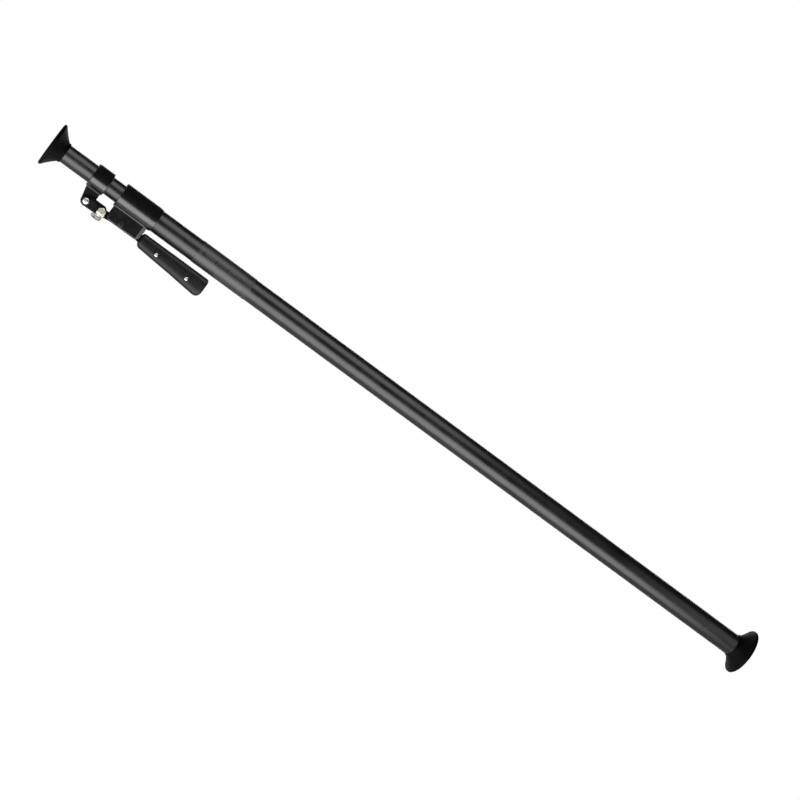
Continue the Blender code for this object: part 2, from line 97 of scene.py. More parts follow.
ROUND = 160            # facets round a tube, collar or foot
SMALL_ROUND = 64       # facets round a pin, bolt or washer
SCREW_ROUND = 40       # facets round a small screw
BROKEN = 0.0002        # edges that are only just broken
PAST = 0.002           # how far a cutter runs past the face that it cuts
THROUGH = 0.05         # how far a cutter that goes through everything reaches to a side


def at(station):
    return station - LENGTH


def placed(outline):
    """(station, z) points as (X, z) points."""
    return [(at(station), z) for station, z in outline]


def axis_at(spot):
    """The point where an axis along Y through a (station, z) spot crosses the pole's middle plane."""
    return (at(spot[0]), 0.0, spot[1])


# Outlines

def arc(centre, radius, start, end, steps):
    """Points on an arc; angles in degrees from the first axis towards the second."""
    points = []
    for i in range(steps + 1):
        angle = math.radians(start + (end - start) * i / steps)
        points.append((centre[0] + radius * math.cos(angle), centre[1] + radius * math.sin(angle)))
    return points


def filleted(points, radii, steps=4, closed=True):
    """The same line with each corner turned into an arc of its own radius."""
    nearly_straight = math.radians(177)
    most_of_side = 0.49
    result = []
    count = len(points)
    for i, (corner, radius) in enumerate(zip(points, radii)):
        at_end = not closed and i in (0, count - 1)
        if radius == 0.0 or at_end:
            result.append(corner)
            continue
        p = Vector(corner)
        before = Vector(points[i - 1]) - p
        after = Vector(points[(i + 1) % count]) - p
        angle = before.angle(after)
        if angle > nearly_straight:
            result.append(corner)
            continue
        reach = min(radius / math.tan(angle / 2), most_of_side * before.length, most_of_side * after.length)
        true_radius = reach * math.tan(angle / 2)
        first, last = p + before.normalized() * reach, p + after.normalized() * reach
        middle = (before.normalized() + after.normalized()).normalized()
        centre = p + middle * (true_radius / math.sin(angle / 2))
        sweep = (first - centre).angle_signed(last - centre)
        for k in range(steps + 1):
            spoke = first - centre
            turn = -sweep * k / steps
            result.append((centre.x + spoke.x * math.cos(turn) - spoke.y * math.sin(turn),
                           centre.y + spoke.x * math.sin(turn) + spoke.y * math.cos(turn)))
    return result


def belt(a, radius_a, b, radius_b, steps=24):
    """Outline round two circles and their outer tangents, for a at the -X side of b."""
    run = math.dist(a, b)
    tilt = math.degrees(math.atan2(b[1] - a[1], b[0] - a[0]))
    lean = math.degrees(math.asin((radius_a - radius_b) / run))
    return (arc(a, radius_a, tilt + 90 - lean, tilt + 270 + lean, steps)
            + arc(b, radius_b, tilt - 90 + lean, tilt + 90 - lean, steps))


# Meshes, all in the row frame

def turned(profile, axis="X", facets=ROUND, centre=(0.0, 0.0, 0.0)):
    """An (along, radius) profile spun about X or Y through a centre; a bored one closes on itself."""
    bm = bmesh.new()
    if axis == "X":
        corners = [bm.verts.new((along, 0.0, radius)) for along, radius in profile]
        spin_axis = (1.0, 0.0, 0.0)
    else:
        corners = [bm.verts.new((0.0, along, radius)) for along, radius in profile]
        spin_axis = (0.0, 1.0, 0.0)
    on_axis = profile[0][1] == 0.0
    following = corners[1:] if on_axis else corners[1:] + corners[:1]
    edges = [bm.edges.new(pair) for pair in zip(corners, following)]
    bmesh.ops.spin(bm, geom=corners + edges, cent=(0, 0, 0), axis=spin_axis, dvec=(0, 0, 0),
                   angle=2 * math.pi, steps=facets, use_merge=True)
    bmesh.ops.remove_doubles(bm, verts=bm.verts[:], dist=1e-6)
    bmesh.ops.recalc_face_normals(bm, faces=bm.faces[:])
    bmesh.ops.translate(bm, verts=bm.verts[:], vec=centre)
    return bm


def ring(start, end, inner, outer, rounding, steps=4):
    """Profile of a ring whose outer corners are rounded and whose bore is just broken."""
    corners = [(start, inner), (end, inner), (end, outer), (start, outer)]
    small = min(BROKEN, rounding)
    return filleted(corners, [small, small, rounding, rounding], steps)


def solid(sections, radii=None, steps=4):
    """Profile of a solid of revolution from (along, radius) sections, closed on the axis."""
    points = [(sections[0][0], 0.0)] + sections + [(sections[-1][0], 0.0)]
    if radii is None:
        return points
    return filleted(points, [0.0] + radii + [0.0], steps, closed=False)


def plate(outline, y_low, y_high, rounding=0.0, segments=3):
    """An (X, z) outline made into a plate from y_low to y_high, with rounded rims."""
    bm = bmesh.new()
    base = bm.faces.new([bm.verts.new((x, y_low, z)) for x, z in outline])
    grown = bmesh.ops.extrude_face_region(bm, geom=[base])
    moved = [v for v in grown["geom"] if isinstance(v, bmesh.types.BMVert)]
    bmesh.ops.translate(bm, verts=moved, vec=(0.0, y_high - y_low, 0.0))
    bmesh.ops.recalc_face_normals(bm, faces=bm.faces[:])
    if rounding:
        rims = [e for e in bm.edges if abs(e.verts[0].co.y - e.verts[1].co.y) < 1e-7]
        bmesh.ops.bevel(bm, geom=rims, offset=rounding, segments=segments, profile=0.5, affect="EDGES",
                        clamp_overlap=True)
    return bm


def block(low, high):
    bm = bmesh.new()
    size = Vector(high) - Vector(low)
    centre = (Vector(high) + Vector(low)) / 2
    bmesh.ops.create_cube(bm, size=1.0, matrix=Matrix.Translation(centre) @ Matrix.Diagonal((*size, 1.0)))
    return bm


def gathered(parts):
    """Several meshes that don't touch, as one."""
    whole = bmesh.new()
    for bm in parts:
        scratch = bpy.data.meshes.new("scratch")
        bm.to_mesh(scratch)
        bm.free()
        whole.from_mesh(scratch)
        bpy.data.meshes.remove(scratch)
    return whole


def loose(name, bm):
    mesh = bpy.data.meshes.new(name)
    bm.to_mesh(mesh)
    bm.free()
    obj = bpy.data.objects.new(name, mesh)
    bpy.context.scene.collection.objects.link(obj)
    return obj


def settle(obj):
    """Turn an object's modifiers into its mesh."""
    deps = bpy.context.evaluated_depsgraph_get()
    mesh = bpy.data.meshes.new_from_object(obj.evaluated_get(deps))
    old = obj.data
    obj.modifiers.clear()
    obj.data = mesh
    bpy.data.meshes.remove(old)


def combined(bm, tool_bm, operation):
    """Boolean of two meshes, as a new mesh."""
    obj, tool = loose("work", bm), loose("tool", tool_bm)
    step = obj.modifiers.new("step", "BOOLEAN")
    step.operation = operation
    step.object = tool
    step.solver = "EXACT"
    settle(obj)
    result = bmesh.new()
    result.from_mesh(obj.data)
    for used in (obj, tool):
        mesh = used.data
        bpy.data.objects.remove(used)
        bpy.data.meshes.remove(mesh)
    return result


def cut(bm, tool_bm):
    return combined(bm, tool_bm, "DIFFERENCE")


def bore(spot, radius, faces, break_edge=0.0003, facets=SMALL_ROUND):
    """Cutter for a hole along Y at (station, z), with its edges broken where it meets the given faces."""
    low, high = faces
    wide = radius + break_edge + PAST
    profile = [(low - PAST, wide), (low + break_edge, radius),
               (high - break_edge, radius), (high + PAST, wide)]
    return turned(solid(profile), "Y", facets, axis_at(spot))


def piece(name, bm, mat, body, node, angle=32):
    """The finished mesh as an object that stands for a CAD node and rides with its body."""
    bmesh.ops.recalc_face_normals(bm, faces=bm.faces[:])
    obj = loose(name, bm)
    obj.data.shade_smooth()
    obj.data.set_sharp_from_angle(angle=math.radians(angle))
    obj.data.materials.clear()
    obj.data.materials.append(mat)
    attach(obj, body)
    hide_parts(node)
    return obj


# Materials: everything is procedural, in object space, so it stays with its piece

def node(tree, kind, **settings):
    made = tree.nodes.new(kind)
    for key, value in settings.items():
        setattr(made, key, value)
    return made


def scaled_coordinates(tree, stretch):
    coordinates = node(tree, "ShaderNodeTexCoord")
    mapping = node(tree, "ShaderNodeMapping")
    mapping.inputs["Scale"].default_value = stretch
    tree.links.new(coordinates.outputs["Object"], mapping.inputs["Vector"])
    return mapping.outputs["Vector"]


def noise(tree, vector, scale, detail=3.0, roughness=0.5):
    made = node(tree, "ShaderNodeTexNoise")
    made.inputs["Scale"].default_value = scale
    made.inputs["Detail"].default_value = detail
    made.inputs["Roughness"].default_value = roughness
    tree.links.new(vector, made.inputs["Vector"])
    return made.outputs["Fac"]


def cells(tree, vector, scale):
    made = node(tree, "ShaderNodeTexVoronoi", feature="SMOOTH_F1")
    made.inputs["Scale"].default_value = scale
    tree.links.new(vector, made.inputs["Vector"])
    return made.outputs["Distance"]


def ranged(tree, value, source, target):
    made = node(tree, "ShaderNodeMapRange")
    made.inputs["From Min"].default_value, made.inputs["From Max"].default_value = source
    made.inputs["To Min"].default_value, made.inputs["To Max"].default_value = target
    tree.links.new(value, made.inputs["Value"])
    return made.outputs["Result"]


def maths(tree, operation, first, second):
    made = node(tree, "ShaderNodeMath", operation=operation)
    for socket, value in zip(made.inputs, (first, second)):
        if isinstance(value, (int, float)):
            socket.default_value = value
        else:
            tree.links.new(value, socket)
    return made.outputs["Value"]


def blend(tree, factor, first, second):
    """Mix of two colours, each a tuple or a socket."""
    made = node(tree, "ShaderNodeMix", data_type="RGBA")
    tree.links.new(factor, made.inputs["Factor"])
    for socket, value in ((made.inputs[6], first), (made.inputs[7], second)):
        if isinstance(value, tuple):
            socket.default_value = (*value, 1.0)
        else:
            tree.links.new(value, socket)
    return made.outputs[2]


def raised(tree, shader, height, depth):
    made = node(tree, "ShaderNodeBump")
    made.inputs["Distance"].default_value = depth
    made.inputs["Strength"].default_value = 1.0
    tree.links.new(height, made.inputs["Height"])
    tree.links.new(made.outputs["Normal"], shader.inputs["Normal"])


def surface(name, dark, light, roughness, metallic=0.0, specular=0.5, patch=70.0, grain=1200.0,
            depth=0.00002, stretch=(1.0, 1.0, 1.0), moulded=False, edge=None, speckle=0.45):
    """Colour and roughness wander in soft patches over a fine grain.

    dark and light are the patches' colours, and edge is the colour that worn edges take. patch and grain are
    noise scales per metre, and depth is the grain's height in metres. speckle is the grain's share of the
    roughness, stretch draws the grain out along an axis, and moulded makes it leathery.
    """
    mat = bpy.data.materials.new(name)
    mat.use_nodes = True
    tree = mat.node_tree
    shader = tree.nodes["Principled BSDF"]
    shader.inputs["Metallic"].default_value = metallic
    shader.inputs["Specular IOR Level"].default_value = specular
    plain = scaled_coordinates(tree, (1.0, 1.0, 1.0))
    drawn = scaled_coordinates(tree, stretch)
    patches = noise(tree, plain, patch, 4.0, 0.6)
    fine = cells(tree, drawn, grain) if moulded else noise(tree, drawn, grain, 2.0, 0.55)
    colour = blend(tree, ranged(tree, patches, (0.35, 0.68), (0.0, 1.0)), dark, light)
    rough = maths(tree, "ADD", maths(tree, "MULTIPLY", fine, speckle),
                  maths(tree, "MULTIPLY", patches, 1.0 - speckle))
    tree.links.new(ranged(tree, rough, (0.32, 0.62), roughness), shader.inputs["Roughness"])
    if edge is not None:
        pointed = node(tree, "ShaderNodeNewGeometry").outputs["Pointiness"]
        worn = ranged(tree, maths(tree, "ADD", pointed, maths(tree, "MULTIPLY", patches, 0.06)),
                      (0.56, 0.62), (0.0, 1.0))
        colour = blend(tree, worn, colour, edge)
    tree.links.new(colour, shader.inputs["Base Color"])
    raised(tree, shader, fine, depth)
    return mat


def wrapped(tree, value, pitch):
    """A length that starts again from zero at each pitch."""
    made = node(tree, "ShaderNodeMath", operation="WRAP")
    tree.links.new(value, made.inputs[0])
    made.inputs[1].default_value = pitch
    made.inputs[2].default_value = 0.0
    return made.outputs["Value"]


def all_of(tree, tests):
    """Where all the tests, each 0 or 1, are 1."""
    result = tests[0]
    for test in tests[1:]:
        result = maths(tree, "MULTIPLY", result, test)
    return result


SCALE_START = 0.012                # from the film's end to the first tick
SCALE_LENGTH = 0.109
TICK_FOOT = -0.0005                # height at which every tick starts
TICKS = ((0.006, 0.0011, 0.0035), (0.030, 0.0016, 0.0075))      # pitch, width and top of each kind
INK = (0.012, 0.012, 0.013)


def label_surface():
    """Satin grey film with a generic scale of short ticks, every fifth of them longer, on the near side."""
    mat = surface("label_film", (0.064, 0.0635, 0.063), (0.076, 0.0755, 0.075), (0.38, 0.46), metallic=0.92,
                  patch=30.0, grain=1500.0, depth=0.0000015, speckle=0.2)
    tree = mat.node_tree
    shader = tree.nodes["Principled BSDF"]
    film = shader.inputs["Base Color"].links[0].from_socket
    axes = node(tree, "ShaderNodeSeparateXYZ")
    tree.links.new(node(tree, "ShaderNodeTexCoord").outputs["Object"], axes.inputs["Vector"])
    along = maths(tree, "SUBTRACT", axes.outputs["X"], at(LABEL[0]) + SCALE_START)
    marks = []
    for pitch, width, top in TICKS:
        marks.append(all_of(tree, [
            maths(tree, "LESS_THAN", wrapped(tree, along, pitch), width),
            maths(tree, "GREATER_THAN", axes.outputs["Z"], TICK_FOOT),
            maths(tree, "LESS_THAN", axes.outputs["Z"], top)]))
    shown = all_of(tree, [
        maths(tree, "MAXIMUM", marks[0], marks[1]),
        maths(tree, "LESS_THAN", axes.outputs["Y"], 0.0),
        maths(tree, "GREATER_THAN", along, 0.0),
        maths(tree, "LESS_THAN", along, SCALE_LENGTH)])
    tree.links.new(blend(tree, shown, film, INK), shader.inputs["Base Color"])
    return mat


ANODISED = surface("anodised_tube", (0.053, 0.0525, 0.052), (0.063, 0.0625, 0.062), (0.30, 0.38),
                   metallic=1.0, patch=22.0, grain=1500.0, depth=0.0000012, stretch=(0.012, 1.0, 1.0),
                   speckle=0.2)
CAST = surface("powder_coated_casting", (0.0012, 0.0012, 0.0016), (0.0020, 0.0020, 0.0026), (0.22, 0.30),
               specular=0.9, patch=60.0, grain=700.0, depth=0.000007, edge=(0.012, 0.012, 0.013),
               speckle=0.25)
LEVER = surface("painted_lever", (0.0014, 0.0014, 0.0018), (0.0026, 0.0026, 0.0032), (0.22, 0.32),
                specular=0.32, patch=80.0, grain=900.0, depth=0.000008, edge=(0.020, 0.020, 0.022),
                speckle=0.25)
RUBBER = surface("foot_rubber_skin", (0.0008, 0.0008, 0.0009), (0.0018, 0.0018, 0.0020), (0.50, 0.70),
                 specular=0.09, patch=55.0, grain=1400.0, depth=0.000035)
PLASTIC = surface("moulded_handle", (0.0030, 0.0030, 0.0036), (0.0046, 0.0046, 0.0054), (0.30, 0.40),
                  specular=0.26, patch=50.0, grain=1500.0, depth=0.000030, moulded=True)
BUSH = surface("bush_acetal", (0.030, 0.030, 0.031), (0.048, 0.048, 0.049), (0.46, 0.60), patch=90.0,
               grain=1300.0, depth=0.000020)
STEEL = surface("zinc_plated_steel", (0.56, 0.57, 0.57), (0.72, 0.72, 0.71), (0.22, 0.40), metallic=1.0,
                patch=180.0, grain=2200.0, depth=0.000010, edge=(0.80, 0.80, 0.79))
BLACK_STEEL = surface("black_oxide_steel", (0.020, 0.020, 0.022), (0.034, 0.034, 0.037), (0.28, 0.42),
                      metallic=0.9, patch=150.0, grain=2000.0, depth=0.000010, edge=(0.06, 0.06, 0.062))
BRASS = surface("nickel_brass", (0.64, 0.56, 0.41), (0.80, 0.73, 0.58), (0.24, 0.40), metallic=1.0,
                patch=160.0, grain=1900.0, depth=0.000012, edge=(0.88, 0.83, 0.72))
LABEL_FILM = label_surface()


# Tubes and bushes

def tubes():
    outer = ring(at(MOUTH), at(LENGTH - TUBE_IN_FOOT), OUTER_R - WALL, OUTER_R, 0.0005)
    piece("tube_fixed", turned(outer), ANODISED, "outer_pole", "outer_tube")
    inner = ring(at(TUBE_IN_FOOT), at(INNER_TAIL), INNER_R - WALL, INNER_R, 0.0005)
    piece("tube_sliding", turned(inner), ANODISED, "inner_pole", "inner_tube")
    film = ring(at(LABEL[0]), at(LABEL[1]), LABEL_R[0], LABEL_R[1], 0.00012, 2)
    piece("scale_film", turned(film), LABEL_FILM, "outer_pole", "label_band")


def bushes():
    bore_r, sleeve_r = INNER_R + GAP, OUTER_R - WALL - GAP
    flange_end = at(MOUTH - GAP)
    start, end = at(COLLAR_START + 0.0005), at(COLLAR_START + 0.028)
    mouth = filleted([(start, bore_r), (end, bore_r), (end, sleeve_r), (flange_end, sleeve_r),
                      (flange_end, OUTER_R - GAP), (start, OUTER_R - GAP)],
                     [0.0010, 0.0002, 0.0006, 0.0, 0.0002, 0.0008])
    piece("bush_mouth", turned(mouth), BUSH, "outer_pole", "mouth_bush")
    liner = ring(at(GRIP_START + 0.001), at(GRIP_END - 0.001), INNER_R + GAP, LINER_R, 0.0004)
    piece("liner_friction", turned(liner), BUSH, "grip", "grip_liner")


# Feet. Each is drawn with its profile running inwards from the bearing face.

FOOT_WALL = 0.0020           # rubber round the tube at a foot's back
FOOT_HOLE_R = 0.0036         # the screw's hole in the rubber
FOOT_SCREW_R = 0.0023
FOOT_WASHER = 0.0013         # thickness of the washer under the screw's head
PLUG_FLANGE = 0.0026         # how far a plug's flange stands out of its tube
PLUG_HOLE_R = 0.0026
PLUG_LENGTH = 0.030
GROOVES = 3                  # grooves between the grip rings of a bearing face
GROOVE = 0.0011
GROOVE_DEPTH = 0.0009
FLARE_STEPS = 14
FLARE_HOLLOW = 0.0060        # the flare is a quarter of this below a straight cone at its middle


def foot_profile(rim, tube_r, depth):
    """Rubber cup: grip rings on the bearing face, a recess for the screw, and a back that flares in."""
    socket = tube_r + GAP
    back_r = tube_r + FOOT_WALL
    floor_back = TUBE_IN_FOOT - PLUG_FLANGE
    face_in, face_out = rim * 0.67, rim - 0.0015
    points = [(FOOT_RECESS, FOOT_HOLE_R), (FOOT_RECESS, rim * 0.58), (0.001, rim * 0.64), (0.0, face_in)]
    radii = [0.0, 0.0010, 0.0012, 0.0006]
    land = (face_out - face_in - 0.001 - GROOVES * GROOVE) / (GROOVES + 1)
    radius = face_in + 0.0005 + land
    for _ in range(GROOVES):
        points += [(0.0, radius), (GROOVE_DEPTH, radius + GROOVE * 0.2),
                   (GROOVE_DEPTH, radius + GROOVE * 0.8), (0.0, radius + GROOVE)]
        radii += [BROKEN] * 4
        radius += GROOVE + land
    points += [(0.0, face_out), (0.0015, rim), (0.0048, rim)]
    radii += [0.0008, 0.0012, 0.0010]
    start, end = 0.0062, depth - 0.0045
    outer = rim - 0.0012
    for i in range(FLARE_STEPS + 1):
        t = i / FLARE_STEPS
        points.append((start + (end - start) * t, outer + (back_r - outer) * t - FLARE_HOLLOW * t * (1 - t)))
        radii.append(0.0)
    points += [(depth - 0.0040, back_r + 0.0001), (depth, back_r), (depth, socket),
               (floor_back, socket), (floor_back, FOOT_HOLE_R)]
    radii += [0.0, 0.0008, 0.0002, 0.0, 0.0]
    return filleted(points, radii, 3)


def foot(prefix, rim, depth, tube_r, face_x, inward, body):
    def facing(profile):
        return [(face_x + along * inward, radius) for along, radius in profile]

    piece("cup_" + prefix, turned(facing(foot_profile(rim, tube_r, depth))), RUBBER, body, prefix + "_foot",
          40)
    core = tube_r - WALL - GAP
    back, end = TUBE_IN_FOOT - PLUG_FLANGE + GAP, TUBE_IN_FOOT + PLUG_LENGTH
    plug = filleted([(back, PLUG_HOLE_R), (back, tube_r), (TUBE_IN_FOOT - GAP, tube_r),
                     (TUBE_IN_FOOT - GAP, core), (end, core), (end, PLUG_HOLE_R)],
                    [0.0, 0.0004, 0.0002, 0.0, 0.0008, 0.0])
    piece("stopper_" + prefix, turned(facing(plug)), BUSH, body, prefix + "_plug")
    top = FOOT_RECESS - GAP
    washer = turned(facing(ring(top - FOOT_WASHER, top, 0.0028, 0.011, 0.0004)), facets=SMALL_ROUND)
    piece("washer_" + prefix, washer, STEEL, body, prefix + "_foot_washer")
    under = top - FOOT_WASHER - GAP
    head = [(under - 0.0026, 0.0036), (under - 0.0018, 0.0050), (under, 0.0052)]
    shank = [(under, FOOT_SCREW_R), (TUBE_IN_FOOT + 0.020, FOOT_SCREW_R)]
    screw = turned(facing(solid(head + shank, [0.0008, 0.0008, 0.0003, 0.0, 0.0004])), facets=SMALL_ROUND)
    socket = turned(facing(solid([(under - 0.0040, 0.0023), (under - 0.0004, 0.0023)])), facets=6)
    piece("screw_" + prefix, cut(screw, socket), STEEL, body, prefix + "_foot_screw")


# Castings: a union of exact shapes, remeshed so that the inside corners flow, then drawn back to true faces

def drawn_back(values, target, full=0.00012, none=0.00034):
    """How far to pull values to a target: all the way when they are close, not at all when they aren't."""
    off = np.abs(values - target)
    weight = np.clip((none - off) / (none - full), 0.0, 1.0)
    return values + (target - values) * weight


RING_RIM = 0.0015            # the ring's rounded rims, which are left as they are
BELOW_RING = -0.030          # height under which a casting has flat sides
INTO_RING = 0.0012           # how deep a ring's cheeks or lug start inside its wall


def casting(bm, voxel, passes, radius_at, bore_r, flats, start, end):
    """The mesh with flowing corners, and with its ring and its flat sides drawn back to their true places.

    radius_at gives the ring's outer radius at X, and flats are the |Y| of the flat sides below the ring.
    """
    obj = loose("work", bm)
    remesh = obj.modifiers.new("remesh", "REMESH")
    remesh.mode = "VOXEL"
    remesh.voxel_size = voxel
    smooth = obj.modifiers.new("smooth", "SMOOTH")
    smooth.factor = 0.5
    smooth.iterations = passes
    settle(obj)
    co = np.empty(len(obj.data.vertices) * 3)
    obj.data.vertices.foreach_get("co", co)
    co = co.reshape(-1, 3)
    radius = np.hypot(co[:, 1], co[:, 2])
    on_ring = (co[:, 0] > start + RING_RIM) & (co[:, 0] < end - RING_RIM)
    wanted = drawn_back(radius, radius_at(co[:, 0]))
    wanted = drawn_back(wanted, bore_r)
    ratio = np.where(on_ring, wanted / radius, 1.0)
    co[:, 1] *= ratio
    co[:, 2] *= ratio
    below = co[:, 2] < BELOW_RING
    for flat in flats:
        side = np.sign(co[:, 1])
        moved = drawn_back(np.abs(co[:, 1]), flat) * side
        co[:, 1] = np.where(below, moved, co[:, 1])
    obj.data.vertices.foreach_set("co", co.ravel())
    result = bmesh.new()
    result.from_mesh(obj.data)
    mesh = obj.data
    bpy.data.objects.remove(obj)
    bpy.data.meshes.remove(mesh)
    return result


CHEEK_BOTTOM = -0.057
TAPER_LENGTH = 0.008         # part of the collar's ring that tapers towards the tube
SLOT_HALF = ARM_HALF + 0.0004


def tail_wedge(side):
    """Cutter that slopes a cheek's outer face in towards the tube's far end."""
    length, narrowing = 0.0085, 0.0036
    first, last = at(CHEEK_END) - length, at(CHEEK_END) + PAST
    low_y, high_y = sorted((side * (CHEEK_HALF - narrowing), side * (CHEEK_HALF + 0.004)))
    wedge = block((first, low_y, -0.070), (last, high_y, -0.010))
    for v in wedge.verts:
        if v.co.x < at(CHEEK_END) - length / 2 and abs(v.co.y) < CHEEK_HALF:
            v.co.y = side * CHEEK_HALF
    return wedge


def lever_collar():
    """Ring on the fixed tube's mouth, tapered at its far end, with two cheeks below that hold the lever."""
    bore_r = OUTER_R + GAP
    start, end = at(COLLAR_START), at(COLLAR_END)
    taper_start = end - TAPER_LENGTH
    profile = filleted([(start, bore_r), (end, bore_r), (end, COLLAR_R - COLLAR_TAPER),
                        (taper_start, COLLAR_R), (start, COLLAR_R)],
                       [BROKEN, BROKEN, 0.0006, 0.004, 0.0020], 6)
    body = turned(profile)
    left = COLLAR_START + 0.003
    outline = [(left, -0.019), (left, -0.050), (left + 0.006, CHEEK_BOTTOM),
               (CHEEK_END - 0.008, CHEEK_BOTTOM), (CHEEK_END, -0.050), (CHEEK_END, -0.019)]
    cheeks = plate(placed(outline), -CHEEK_HALF, CHEEK_HALF)
    belly = [e for e in cheeks.edges
             if max(v.co.z for v in e.verts) < CHEEK_BOTTOM + 0.0005
             and abs(e.verts[0].co.y) > CHEEK_HALF - 1e-5
             and abs(e.verts[0].co.y - e.verts[1].co.y) < 1e-6 and e.calc_length() > 0.02]
    bmesh.ops.bevel(cheeks, geom=belly, offset=0.0022, segments=1, affect="EDGES")
    cheeks = cut(cheeks, gathered([tail_wedge(side) for side in (-1, 1)]))
    slot = block((start - 0.01, -SLOT_HALF, -0.070), (end + 0.01, SLOT_HALF, -0.0272))
    cheeks = cut(cheeks, slot)
    cheeks = cut(cheeks, bore(PIVOT, PIN_R + GAP, (-CHEEK_HALF, CHEEK_HALF)))
    core = turned(solid([(start - 0.01, bore_r + INTO_RING), (end + 0.01, bore_r + INTO_RING)]))
    cheeks = cut(cheeks, core)
    body = combined(body, cheeks, "UNION")
    screw_holes = [turned(solid([(0.022, SCREW_R + GAP), (0.032, SCREW_R + GAP)]), "Y", SCREW_ROUND,
                          axis_at(spot)) for spot in COLLAR_SCREWS]
    body = cut(body, gathered(screw_holes))

    def radius_at(x):
        tapered = COLLAR_R - COLLAR_TAPER * (x - end + TAPER_LENGTH) / TAPER_LENGTH
        return np.where(x > taper_start, tapered, COLLAR_R)

    body = casting(body, 0.00078, 4, radius_at, bore_r, (CHEEK_HALF, SLOT_HALF), start, end)
    piece("casting_lever_collar", body, CAST, "outer_pole", "lever_collar", 60)


def grip_collar():
    """Ring on the friction liner with a lug below it."""
    bore_r = LINER_R + GAP
    start, end = at(GRIP_START), at(GRIP_END)
    profile = filleted([(start, bore_r), (end, bore_r), (end, GRIP_R), (start, GRIP_R)],
                       [BROKEN, BROKEN, 0.0020, 0.0020], 6)
    outline = placed([(GRIP_START + 0.003, -0.018), (GRIP_START + 0.003, -0.028)]
                     + arc(DRIVE, 0.0105, 200, 330, 24)
                     + filleted([(GRIP_END - 0.003, -0.046), (GRIP_END - 0.003, -0.018)], [0.0, 0.0]))
    lug = plate(outline, -ARM_HALF, ARM_HALF, 0.0006, 2)
    lug = cut(lug, turned(solid([(start - 0.01, bore_r + INTO_RING), (end + 0.01, bore_r + INTO_RING)])))
    lug = cut(lug, bore(DRIVE, BOLT_R + GAP, (-ARM_HALF, ARM_HALF)))
    body = combined(turned(profile), lug, "UNION")

    def radius_at(x):
        return np.full_like(x, GRIP_R)

    body = casting(body, 0.00055, 5, radius_at, bore_r, (ARM_HALF,), start, end)
    piece("casting_grip_collar", body, CAST, "grip", "grip_collar", 60)


# Pins, bolts, nuts and clips

def hex_headed(spot, start, end, corner_r, bore_r=0.0, chamfer=0.0010):
    """Six-sided head or nut along Y whose corners are turned off at both ends."""
    centre = axis_at(spot)
    bm = turned(solid([(start, corner_r), (end, corner_r)]), "Y", 6, centre)
    flat_r = corner_r * math.cos(math.pi / 6)
    turned_off = solid([(start, flat_r - 0.0001), (start + chamfer, corner_r + 0.0002),
                        (end - chamfer, corner_r + 0.0002), (end, flat_r - 0.0001)])
    bm = combined(bm, turned(turned_off, "Y", SMALL_ROUND, centre), "INTERSECT")
    if bore_r:
        bm = cut(bm, bore(spot, bore_r, (start, end)))
    return bm


THIN = 0.0012                # thickness of the link bolt's washer and of a retaining ring
CLIP_R = 0.0072
CROSS_TILT = 20              # degrees a handle screw's cross drive is turned
HEAD_WELL_R = 0.0046


def snap_ring(spot, start, end, inner, outer):
    """Retaining ring with a gap and two eared ends."""
    middle = (inner + outer) / 2
    half = (outer - inner) / 2
    gap = 26                     # half the gap, in degrees
    bulge = half * 1.15
    outline = arc((0.0, 0.0), outer, gap + 16, 360 - gap - 16, 60)
    low_ear = (middle * math.cos(math.radians(-gap)), middle * math.sin(math.radians(-gap)))
    high_ear = (middle * math.cos(math.radians(gap)), middle * math.sin(math.radians(gap)))
    outline += arc(low_ear, bulge, -70, 80, 10)
    outline += arc((0.0, 0.0), inner, 360 - gap - 6, gap + 6, 60)
    outline += arc(high_ear, bulge, -80, 70, 10)
    shifted = [(at(spot[0]) + x, spot[1] + z) for x, z in outline]
    return plate(shifted, start, end, 0.0002, 2)


def cross_recess(spot, face_y, depth, reach, width, outward):
    """Cutter for a cross drive: two crossed tapering bars, at a face whose outside is towards outward."""
    arms = []
    for tilt in (CROSS_TILT, CROSS_TILT + 90):
        turn = Matrix.Rotation(math.radians(tilt), 4, "Y")
        bar = block((-reach, -depth, -width / 2), (reach, depth, width / 2))
        for v in bar.verts:
            if v.co.y * outward < 0:
                v.co.x *= 0.45
                v.co.z *= 0.6
        bmesh.ops.transform(bar, matrix=turn, verts=bar.verts[:])
        bmesh.ops.translate(bar, verts=bar.verts[:], vec=(at(spot[0]), face_y, spot[1]))
        arms.append(bar)
    return arms


def link_fasteners():
    face = ARM_HALF + 2 * GAP + PLATE
    spot = axis_at(DRIVE)
    washer = ring(-face - GAP - THIN, -face - GAP, BOLT_R + GAP, 0.0088, 0.0004)
    piece("washer_link_bolt", turned(washer, "Y", SMALL_ROUND, spot), BLACK_STEEL, "grip", "link_bolt_washer")
    seat = face + 2 * GAP + THIN
    head = [(-seat - 0.0042, 0.0030), (-seat - 0.0036, 0.0052), (-seat - 0.0022, 0.0068), (-seat, 0.0072)]
    shank = [(-seat, BOLT_R), (face + 0.0075, BOLT_R)]
    profile = solid(head + shank, [0.004, 0.003, 0.0025, 0.0003, 0.0, 0.0006], 6)
    piece("bolt_link", turned(profile, "Y", SMALL_ROUND, spot), STEEL, "grip", "link_bolt")
    nut = hex_headed(DRIVE, face + GAP, face + GAP + 0.0052, 0.0062, BOLT_R + GAP)
    piece("nut_link", nut, STEEL, "grip", "link_nut")


